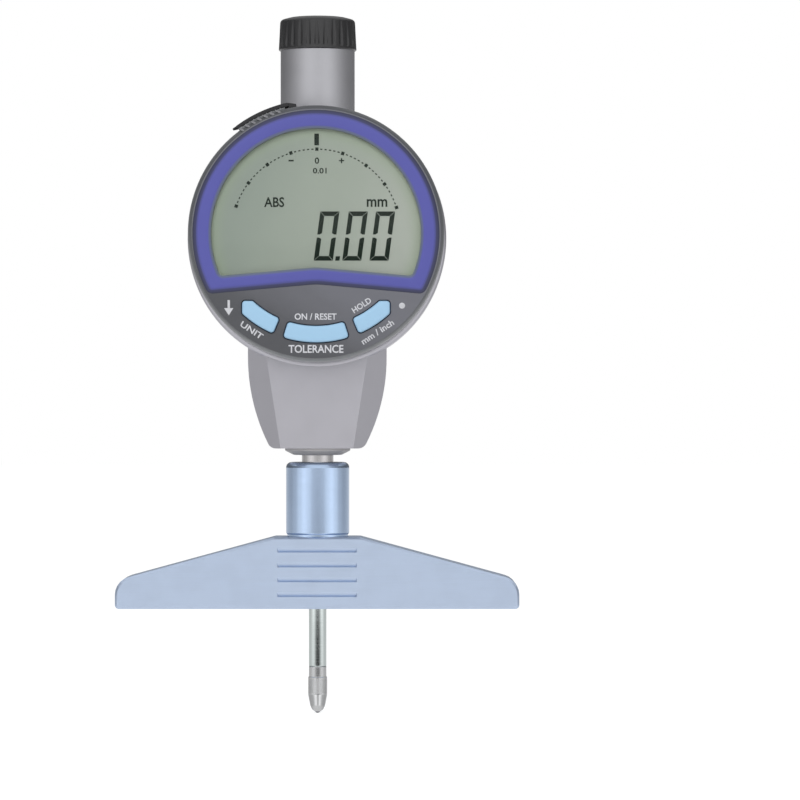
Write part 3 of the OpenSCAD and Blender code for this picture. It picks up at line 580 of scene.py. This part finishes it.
def depths(name):
    """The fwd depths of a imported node's back and front."""
    low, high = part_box(name)
    return -high.y / mm, -low.y / mm


PANEL_FRONT = depths("face_panel")[1]


def on_dial(flat, fwd):
    """Points of the dial's plane, in mm to the right of and above its middle, at a fwd depth."""
    flat = np.asarray(flat, float)
    fwd = np.broadcast_to(np.asarray(fwd, float), flat.shape[:-1])
    return np.stack([flat[..., 0] + dial.x, -fwd, flat[..., 1] + dial.z], axis=-1)


def plate(flat, back, front):
    """A flat outline made solid between two fwd depths: points and faces."""
    n = len(flat)
    points = np.concatenate([on_dial(flat, back), on_dial(flat, front)])
    i = np.arange(n)
    sides = np.stack([i, (i + 1) % n, (i + 1) % n + n, i + n], axis=1).tolist()
    return points, [list(range(n))[::-1], list(range(n, 2 * n)), *sides]


def gathered(parts):
    """One list of points and one of faces from many such pairs."""
    starts = np.concatenate([[0], np.cumsum([len(points) for points, _ in parts])[:-1]])
    faces = [[i + int(start) for i in face] for (_, made), start in zip(parts, starts) for face in made]
    return np.concatenate([points for points, _ in parts]), faces


def polar(r, degrees):
    """Flat points at these radii and angles."""
    a = np.radians(degrees)
    return np.stack([r * np.cos(a), r * np.sin(a)], axis=-1)


def turned(flat, degrees):
    """Flat points turned anticlockwise about the middle."""
    c, s = np.cos(np.radians(degrees)), np.sin(np.radians(degrees))
    return np.asarray(flat, float) @ np.array([[c, s], [-s, c]])


def cover_tongue(count=15):
    """Strip from just inside the case's rim out to a radius that falls evenly to its thin end."""
    a = np.linspace(TONGUE_FROM, TONGUE_TO, count)
    outer = polar(np.linspace(TONGUE_END_R, COVER_R, count), a)
    return plate(np.concatenate([outer, polar(TONGUE_IN_R, a)[::-1]]), *depths("cover_anchor"))


def rim_rib(degrees):
    """A small bar with tapered ends across the rim, sloping down to the right."""
    bar = [(-0.75, 0), (-0.35, 0.25), (0.35, 0.25), (0.75, 0), (0.35, -0.25), (-0.35, -0.25)]
    front = PANEL_FRONT + RIB_PROUD
    return plate(turned(bar, RIB_SLOPE) + polar(RIB_R, degrees), front - RIB_H, front)


piece("cover_tongue", *cover_tongue(), rubber, "display_unit", "soft_rubber", ["cover_anchor"])
# The ribs are painted paler than the case grey around them: a painted highlight for the light their fronts
# catch.
piece("rim_ribs", *gathered([rim_rib(angle) for angle in RIB_AT]),
      worked("rib_painted_highlight", "#7D7D81", 0, 0.5, size=0.2, height=0.003, patch=2.0, edge=0),
      "display_unit", "case_grey")


# ---------------------------------------------------------------------------------------------
# Front panel. Dark grey moulded disc with a fine matt grain, cut out for the window and the
# three keys.

# Painted light: how much paler the panel gets for each mm to the right and up, and from which height.
LIT_PALER_RIGHT, LIT_PALER_UP, LIT_PALER_FROM = 0.02, 0.035, -22


def panel_look():
    """Moulded grey with a fine matt grain and painted light: paler towards the right and up towards
    the blue frame, as the light falls there. The share is about 0.6 at a set height below the dial's
    middle, and grows by set steps for each mm to the right and up."""
    made, tree, shader = new_finish("panel_grey", "#6A6B71", 0, 0.5)
    up = calc(tree, "MULTIPLY_ADD", along(tree, "Z"), LIT_PALER_UP / mm, 0.52 - LIT_PALER_UP * (dial.z + LIT_PALER_FROM))
    slant = calc(tree, "MULTIPLY_ADD", along(tree, "X"), LIT_PALER_RIGHT / mm, up)
    share = calc(tree, "MULTIPLY_ADD", spots(tree, 8.0), 0.16, slant)
    put(tree, shader.inputs["Base Color"],
        shaded(tree, share, [(0.3, "#4D4E52"), (0.8, "#64656B"), (1.0, "#6B6C73")]))
    grained(tree, shader, spots(tree, 0.1), 0.44, 0.56, 0.004, 0.08)
    return made


dress(panel_look(), "face_panel")


# ---------------------------------------------------------------------------------------------
# Print on the panel. Pale words and marks beside the keys, in a plain face. The words are
# generic, and the maker's place above the keys stays bare.

PRINT_T = 0.03


def lettering(text, width, height, middle_at, slope, back, front):
    """Letters as solids between two fwd depths, their block width by height mm, set on the dial's
    plane round the point and turned anticlockwise by slope degrees."""
    curve = bpy.data.curves.new("letters", "FONT")
    curve.body = text
    curve.extrude = 0.1
    curve.offset = 0.02
    curve.resolution_u = 3
    block = bpy.data.objects.new("letters", curve)
    bpy.context.scene.collection.objects.link(block)
    bpy.context.view_layer.update()
    mesh = bpy.data.meshes.new_from_object(block.evaluated_get(bpy.context.evaluated_depsgraph_get()))
    points = np.array([vertex.co for vertex in mesh.vertices])
    faces = [list(face.vertices) for face in mesh.polygons]
    bpy.data.objects.remove(block)
    bpy.data.meshes.remove(mesh)
    low, high = points[:, :2].min(0), points[:, :2].max(0)
    flat = (points[:, :2] - (low + high) / 2) / (high - low) * (width, height)
    return on_dial(turned(flat, slope) + middle_at, np.where(points[:, 2] > 0, front, back)), faces


def disc(r, at, sides=20):
    """Outline of a round dot about a point."""
    return polar(r, np.linspace(0, 360, sides, endpoint=False)) + at


WORDS = [("ON / RESET", 10.4, 1.6, (-0.1, -20.6), 0), ("TOLERANCE", 13.6, 2.0, (0, -28.6), 0),
         ("UNIT", 6.3, 1.5, (-15.9, -24.0), -33.5), ("HOLD", 5.2, 1.5, (11.3, -17.8), 33),
         ("mm / inch", 9.2, 1.6, (15.2, -24.4), 33.5)]
ARROW = [(-0.3, 1.9), (0.3, 1.9), (0.3, -0.1), (1.15, -0.1), (0, -1.9), (-1.15, -0.1), (-0.3, -0.1)]
ARROW_AT, DOT_AT, DOT_R = (-21.6, -18.4), (21.3, -17.9), 0.75
panel_print = [lettering(*word, PANEL_FRONT, PANEL_FRONT + PRINT_T) for word in WORDS]
panel_print += [plate(flat, PANEL_FRONT, PANEL_FRONT + PRINT_T)
                for flat in (np.asarray(ARROW) + ARROW_AT, disc(DOT_R, DOT_AT))]
piece("panel_print", *gathered(panel_print),
      worked("print_white", "#D2D3D8", 0, 0.55, size=0.3, height=0.002, fade=0.85, patch=1.5, edge=0),
      "display_unit", "panel_grey")


# ---------------------------------------------------------------------------------------------
# Blue frame. A moulded ring round the window whose edges slope down to the panel and the window;
# below, its two straight sides rise to a soft peak. Painted shade darkens the outer slope to navy
# and the inner one to slate, most at their feet.

FALL = 0.09
PEAK_R = 20
FRAME_R, FRAME_LOW = 30.6, -12.6
WINDOW_R, WINDOW_LOW = 26.0, -8.4
FRAME_CORNER_R, WINDOW_CORNER_R = 1.8, 1.2
OUTER_SLOPE, INNER_SLOPE = 1.6, 1.0
FRAME_FRONT = depths("display_frame")[1]
FRAME_BLUE = "#5355A2"
# Painted shade on the frame's slopes, by the height share from the panel (0) to the frame's top (1).
NAVY_SLOPE_SHADE = [(0.0, "#33354A"), (0.65, "#3B3D60"), (0.93, "#4E5092"), (1.0, FRAME_BLUE)]
SLATE_SLOPE_SHADE = [(0.15, "#6A7480"), (0.7, "#5F6788"), (1.0, FRAME_BLUE)]


def edge_line(peak, start, end, count=61):
    """The lower edge from x = start to end: it falls by FALL to each side of an arc at the peak."""
    x = np.linspace(start, end, count)
    bend = PEAK_R * FALL
    fall = np.where(np.abs(x) < bend, x * x / (2 * PEAK_R), FALL * np.abs(x) - bend * FALL / 2)
    return np.stack([x, peak - bend * FALL / 2 - fall], axis=1)


def fanned(sides, steps=5):
    """Points and outward normals of an outline made of sides listed anticlockwise. Where two sides
    meet, the point repeats while its normal turns, so points + normals * r has round corners."""
    normals = []
    for side in sides:
        way = np.gradient(side, axis=0)
        normals.append(np.stack([way[:, 1], -way[:, 0]], axis=1) / np.linalg.norm(way, axis=1)[:, None])
    points, out = [], []
    for side, normal, after in zip(sides, normals, normals[1:] + normals[:1]):
        first = np.arctan2(normal[-1, 1], normal[-1, 0])
        sweep = np.mod(np.arctan2(after[0, 1], after[0, 0]) - first + np.pi, 2 * np.pi) - np.pi
        a = first + sweep * np.arange(1, steps) / steps
        points += [side, np.repeat(side[-1:], steps - 1, 0)]
        out += [normal, np.stack([np.cos(a), np.sin(a)], axis=1)]
    return np.concatenate(points), np.concatenate(out)


def cut_disc(r, peak, corner):
    """Outline of a disc cut off below by the lower edge, drawn in by the corner radius."""
    core_r = r - corner
    core_peak = peak + corner
    x = core_r * 0.9
    for _ in range(8):
        x = np.sqrt(core_r ** 2 - (core_peak - PEAK_R * FALL ** 2 / 2 - FALL * (x - PEAK_R * FALL / 2)) ** 2)
    edge = edge_line(core_peak, -x, x)
    first = np.arctan2(edge[-1, 1], x)
    a = np.linspace(first, np.pi - first, 161)
    return fanned([np.stack([np.cos(a), np.sin(a)], axis=1) * core_r, edge])


def rings(outline, steps, corner):
    """Rows of points: for each (outset, fwd) the outline grown to corner + outset, at that depth."""
    points, normals = outline
    return [on_dial(points + normals * (corner + outset), fwd) for outset, fwd in steps]


def quarter(r, outset, fwd, steps=5):
    """Steps of an edge rounded by r: from the side at outset, forward to the flat at fwd."""
    a = np.linspace(0, np.pi / 2, steps + 1)
    return [(outset - r + r * np.cos(t), fwd - r + r * np.sin(t)) for t in a]


def shoulder(slope, low, high, steps=8):
    """Steps of an edge that slopes in: outset -slope * t, the fwd depth rising by sin(t * pi / 2)."""
    return [(-slope * t, low + (high - low) * np.sin(t * np.pi / 2)) for t in np.linspace(0, 1, steps + 1)]


def frame_band():
    """Band between two cut discs: sloping outer edge, flat top, sloping inner edge, flat back. The
    last result marks each point: 1 on the inner cut disc, 0 on the outer one."""
    outer = cut_disc(FRAME_R, FRAME_LOW, FRAME_CORNER_R)
    inner = cut_disc(WINDOW_R, WINDOW_LOW, WINDOW_CORNER_R)
    outside = rings(outer, shoulder(OUTER_SLOPE, PANEL_FRONT, FRAME_FRONT), FRAME_CORNER_R)
    down = shoulder(INNER_SLOPE, PANEL_FRONT + 0.1, FRAME_FRONT)[::-1]
    inside = rings(inner, [(-outset, fwd) for outset, fwd in down] + [(0, PANEL_FRONT)], WINDOW_CORNER_R)
    rows = outside + inside + outside[:1]
    marks = np.repeat([0.0, 1.0, 0.0], [len(outside), len(inside), 1])
    return np.stack(rows), grid_faces(len(rows), len(outer[0])), np.repeat(marks, len(outer[0]))


def forward(tree, start):
    """How far the piece's surface lies in front of a fwd depth."""
    return calc(tree, "SUBTRACT", calc(tree, "MULTIPLY", along(tree, "Y"), -1 / mm), start)


def frame_look():
    """Satin blue plastic with painted shade on its sloping edges, read by the fwd depth: darker to navy
    down the outer slope, and to slate down the inner one, which the mark 'inner' tells from it."""
    made, tree, shader = new_finish("frame_blue", FRAME_BLUE, 0, 0.42)
    share = calc(tree, "DIVIDE", forward(tree, PANEL_FRONT), FRAME_FRONT - PANEL_FRONT)
    inner = calc(tree, "GREATER_THAN", add(tree, "Attribute", attribute_name="inner").outputs["Fac"], 0.5)
    blue = add(tree, "MixRGB", Fac=inner, Color1=shaded(tree, share, NAVY_SLOPE_SHADE),
               Color2=shaded(tree, share, SLATE_SLOPE_SHADE)).outputs[0]
    fine = calc(tree, "MULTIPLY_ADD", spots(tree, 5.0), 0.05, 0.97)
    put(tree, shader.inputs["Base Color"],
        add(tree, "MixRGB", blend_type="MULTIPLY", Fac=1.0, Color1=blue, Color2=fine).outputs[0])
    grained(tree, shader, spots(tree, 0.12), 0.36, 0.48, 0.003)
    return made


band_points, band_faces, band_marks = frame_band()
piece("frame_band", band_points, band_faces, frame_look(), "display_unit", "frame_blue", ["display_frame"],
      mark=("inner", band_marks))


# ---------------------------------------------------------------------------------------------
# Window and display. A clear acrylic window, flush in the frame, over a grey-green reflective
# liquid-crystal glass whose figures are a shade of dark green: a reading, a pointer, a scale.

LCD_FRONT, LENS_FRONT = depths("lcd_panel")[1], depths("window_lens")[1]
LENS_BACK = LCD_FRONT + 0.08
LENS_GAP, LENS_EDGE = 0.04, 0.25
INK_T = 0.03


def glass_look():
    """Grey-green glass with painted light: warmer and lighter to the right and lower down, as the light
    falls; greener towards the rim, with a fine grain.
    """
    made, tree, shader = new_finish("display_glass", "#9AA395", 0, 0.45)
    # Painted light: the share rises lower down and to the right.
    down = calc(tree, "MULTIPLY_ADD", along(tree, "Z"), -6.0, 6.0 * dial.z * mm + 0.5)
    slant = calc(tree, "MULTIPLY_ADD", along(tree, "X"), 18.0, down)
    share = calc(tree, "MULTIPLY_ADD", spots(tree, 6.0), 0.1, slant)
    field = shaded(tree, share, [(0.1, "#8C968D"), (0.55, "#9AA298"), (1.0, "#A9AEA6")])
    away = calc(tree, "DIVIDE", radius(tree, "face_panel"), 30 * mm)
    rim = read_off(tree, away, [(0.74, 0.0), (0.86, 0.6)])
    put(tree, shader.inputs["Base Color"],
        add(tree, "MixRGB", Fac=rim, Color1=field, Color2=linear("#97A48E")).outputs[0])
    grained(tree, shader, spots(tree, 0.08), 0.42, 0.52, 0.002)
    return made


dress(glass_look(), "lcd_panel")

DIGIT_W, DIGIT_H, STROKE, LEAN = 4.75, 12.2, 1.15, 0.135
DIGIT_LOW = -6.7
DIGIT_X = (-0.6, 6.45, 13.2)
GAP, WAIST_GAP = 0.06, 0.38


def zero_digit(left):
    """The six outer bars of a seven-bar nought, mitred at their ends and leaning to the right."""
    w, h, t, g = DIGIT_W, DIGIT_H, STROKE, GAP
    waist = h / 2 + WAIST_GAP
    top = np.array([(g, h), (w - g, h), (w - g - t, h - t), (g + t, h - t)])
    side = np.array([(0, h - g), (t, h - g - t), (t, waist + t * 0.3), (t / 2, waist), (0, waist)])
    bars = [side * flip + shift for flip, shift in (((1, 1), (0, 0)), ((1, -1), (0, h)),
                                                    ((-1, 1), (w, 0)), ((-1, -1), (w, h)))]
    bars += [top, top * (1, -1) + (0, h)]
    return [bar + np.stack([left + LEAN * bar[:, 1], np.full(len(bar), DIGIT_LOW)], axis=1) for bar in bars]


def bar_at(angle, r, length, width):
    """A short bar on the scale's arc that points at the dial's middle."""
    box = np.array([(-1, -1), (1, -1), (1, 1), (-1, 1)]) * (length / 2, width / 2)
    return turned(box + (r, 0), angle)


SCALE_R, SCALE_FROM, SCALE_TO = 20.95, 161.0, 18.0
MAIN_BARS, FINE_BARS = 9, 6
MAIN_BAR, FINE_BAR = (0.85, 0.8), (0.3, 0.52)
DECIMAL_POINT = [(4.7, -6.7), (5.8, -6.7), (5.95, -5.6), (4.85, -5.6)]
POINTER = [(-0.45, 21.9), (0.7, 21.9), (0.7, 24.8), (-0.45, 24.8)]
MARKS = [("ABS", 5.0, 2.5, (-10.4, 7.8), 0), ("mm", 5.1, 1.95, (15.1, 7.6), 0),
         ("-", 1.3, 0.4, (-6.2, 18.1), 0), ("0", 1.1, 1.6, (0.2, 18.1), 0),
         ("+", 1.3, 1.3, (6.3, 18.1), 0), ("0.01", 3.4, 1.4, (0.9, 15.6), 0)]
outlines = [bar for left in DIGIT_X for bar in zero_digit(left)] + [DECIMAL_POINT, POINTER]
for i, angle in enumerate(np.linspace(SCALE_FROM, SCALE_TO, (MAIN_BARS - 1) * FINE_BARS + 1)):
    outlines.append(bar_at(angle, SCALE_R, *(FINE_BAR if i % FINE_BARS else MAIN_BAR)))
display_ink = [plate(flat, LCD_FRONT, LCD_FRONT + INK_T) for flat in outlines]
display_ink += [lettering(*mark, LCD_FRONT, LCD_FRONT + INK_T) for mark in MARKS]
piece("display_figures", *gathered(display_ink),
      worked("figure_ink", "#18231C", 0, 0.6, size=0.15, height=0.001, fade=0.9, patch=2.0, edge=0,
             Specular_IOR_Level=0.15),
      "display_unit", "display_glass")


def clear_look():
    """Clear acrylic: what lies behind shows through, and a thin gloss, on the outside alone, grows at
    a glancing view."""
    made, tree, shader = new_finish("window", "#FFFFFF", 0, 0.08)
    out = tree.nodes["Material Output"]
    tree.nodes.remove(shader)
    gloss = add(tree, "BsdfGlossy", Color=WHITE, Roughness=ranged(tree, spots(tree, 1.5), 0.05, 0.09))
    through = add(tree, "BsdfTransparent", Color=(0.985, 0.99, 0.985, 1))
    front = calc(tree, "SUBTRACT", 1.0, add(tree, "NewGeometry").outputs["Backfacing"])
    thin = calc(tree, "MULTIPLY", add(tree, "Fresnel", IOR=1.3).outputs[0], front)
    tree.links.new(blended(tree, thin, through, gloss).outputs[0], out.inputs["Surface"])
    return made


def closed(rows):
    """Rows of one outline joined to a solid; the first and the last row become flat ends."""
    n = len(rows[0])
    faces = grid_faces(len(rows), n).tolist()
    return np.stack(rows), [*faces, list(range(n)), list(range((len(rows) - 1) * n, len(rows) * n))]


def lens_slab():
    """The window's outline as a slab with a rounded front edge."""
    outline = cut_disc(WINDOW_R - LENS_GAP, WINDOW_LOW + LENS_GAP, WINDOW_CORNER_R)
    return closed(rings(outline, [(0, LENS_BACK), *quarter(LENS_EDGE, 0, LENS_FRONT)], WINDOW_CORNER_R))


piece("window_slab", *lens_slab(), clear_look(), "display_unit", "window", ["window_lens"])


# ---------------------------------------------------------------------------------------------
# Keys. Three pale blue moulded caps with generously rounded edges, each with a lip behind the
# panel. Their skirts, down in the gap, are in shadow, which is painted into their colour as dark blue.

KEY_CORNER = 0.8
KEY_IN_R, KEY_OUT_R = 22.9 + KEY_CORNER, 27.0 - KEY_CORNER
KEY_IN_TURN, KEY_OUT_TURN = (np.degrees(np.arcsin(KEY_CORNER / r)) for r in (KEY_IN_R, KEY_OUT_R))
KEY_SPAN, SIDE_KEY_END = (-107.6, -72.4), -113.2
KEY_SIDE_X, KEY_TOP_Z = 18.3 - KEY_CORNER, -16.7 - KEY_CORNER
KEY_LIP, KEY_LIP_T = 0.75, 0.5
KEY_EDGE, KEY_CROWN = 0.5, 0.02


def arc(r, start, end, count=41):
    """Points of an arc about the dial's middle, from one angle in degrees to another."""
    return polar(r, np.linspace(start, end, count))


def straight(start, end, count=9):
    """Points of a straight line."""
    return np.linspace(start, end, count)


def middle_key():
    """Outline of the middle key, drawn in by its corner radius."""
    low = arc(KEY_OUT_R, KEY_SPAN[0] + KEY_OUT_TURN, KEY_SPAN[1] - KEY_OUT_TURN)
    high = arc(KEY_IN_R, KEY_SPAN[1] - KEY_IN_TURN, KEY_SPAN[0] + KEY_IN_TURN)
    return fanned([low, straight(low[-1], high[0]), high, straight(high[-1], low[0])])


def side_key(mirrored):
    """Outline of the left key or, mirrored, of the right one, cut off by a side and an upper limit
    and drawn in by its corner radius."""
    low = arc(KEY_OUT_R, np.degrees(np.arccos(KEY_SIDE_X / KEY_OUT_R)) - 180, SIDE_KEY_END - KEY_OUT_TURN)
    high = arc(KEY_IN_R, SIDE_KEY_END - KEY_IN_TURN, np.degrees(np.arcsin(-KEY_TOP_Z / KEY_IN_R)) - 180)
    corner = np.array([-KEY_SIDE_X, KEY_TOP_Z])
    sides = [low, straight(low[-1], high[0]), high, straight(high[-1], corner), straight(corner, low[0])]
    if mirrored:
        sides = [side[::-1] * (-1, 1) for side in sides][::-1]
    return fanned(sides)


def key_cap(outline, node):
    """Rings of the outline from the crown over the rounded edge and down the skirt to the lip."""
    back, front = depths(node)
    crown = [(-KEY_CORNER, front), (-KEY_EDGE - 0.1, front - KEY_CROWN / 2)]
    edge = quarter(KEY_EDGE, 0, front - KEY_CROWN)[::-1]
    skirt = [(0, back + KEY_LIP_T), (KEY_LIP, back + KEY_LIP_T), (KEY_LIP, back)]
    return closed(rings(outline, crown + edge + skirt, KEY_CORNER))


def key_look(front):
    """Pale blue plastic with a soft sheen, painted darker down the rounded edge and the skirt as painted
    shade, read by the fwd depth from 1 mm behind the front."""
    made, tree, shader = new_finish("key_blue", "#A2C9E6", 0, 0.36)
    put(tree, shader.inputs["Base Color"],
        shaded(tree, forward(tree, front - 1), [(0.1, "#36507A"), (0.5, "#86B0D2"), (0.75, "#A2C9E6")]))
    grained(tree, shader, spots(tree, 0.12), 0.3, 0.42, 0.003)
    return made


key_blue = key_look(depths("centre_button")[1])
for name, outline in (("left", side_key(False)), ("centre", middle_key()), ("right", side_key(True))):
    piece(name + "_key_cap", *key_cap(outline, name + "_button"), key_blue,
          name + "_key", "button_blue", [name + "_button"], sharp=50)


# ---------------------------------------------------------------------------------------------
# Spindle and its contact. The spindle is ground and polished; the contact screws into it by a
# knurled grip, tapers, and ends in a carbide ball.

dress(worked("polished_steel", "#D0D8D7", 1, 0.07, size=0.08, stretch=ROUND_Z, height=0.0001, uneven=0.02),
      "spindle")
dress(worked("carbide", "#6E6E74", 1, 0.12, size=0.2, height=0.0005, uneven=0.03, edge=0), "contact_ball")
GRIP_R, GRIP_HIGH, GRIP_LOW, GRIP_FADE = 2.42, 2.8, 7.0, 0.5
KNURLS, KNURL_POINTS, KNURL_H = 30, 8, 0.035
SHANK_R, THREAD_R = 2.24, 1.25


def knurled_contact():
    """Half outline turned about the axis; on the grip, crossed cosines raise small diamonds."""
    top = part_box("spindle")[0].z / mm
    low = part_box("contact_ball")[0].z / mm
    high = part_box("contact_point")[1].z / mm
    half = [[0, low + 0.4], [0.8, low + 0.4], [1.42, low + 0.85], [1.88, low + 1.8], [GRIP_R, top - 7.2],
            [GRIP_R, top - 2.75], [SHANK_R, top - 2.6], [SHANK_R, top], [THREAD_R, top], [THREAD_R, high],
            [0, high]]
    line = filled(rounded(half, [0, 0.1, 0.7, 2.2, 2.5, 0.1, 0.1, 0.12, 0, 0.3, 0]), 0.06)
    a = np.linspace(0, 2 * np.pi, KNURLS * KNURL_POINTS, endpoint=False)
    down = top - line[:, 1:]
    climb = down * KNURLS / GRIP_R
    fade = np.clip((GRIP_LOW - down) / GRIP_FADE, 0, 1) * np.clip((down - GRIP_HIGH) / GRIP_FADE, 0, 1)
    diamonds = (1 + np.cos(KNURLS * a + climb)) * (1 + np.cos(KNURLS * a - climb)) / 4
    return revolved(np.maximum(line[:, :1] + KNURL_H * fade * (diamonds - 0.5), 0), line[:, 1:], a)


piece("knurled_contact", *knurled_contact(),
      worked("contact_steel", "#C6C7C8", 0.85, 0.12, size=0.1, stretch=ROUND_Z, height=0.0002,
             uneven=0.01, edge=0),
      "spindle_unit", "turned_steel", ["contact_point"])
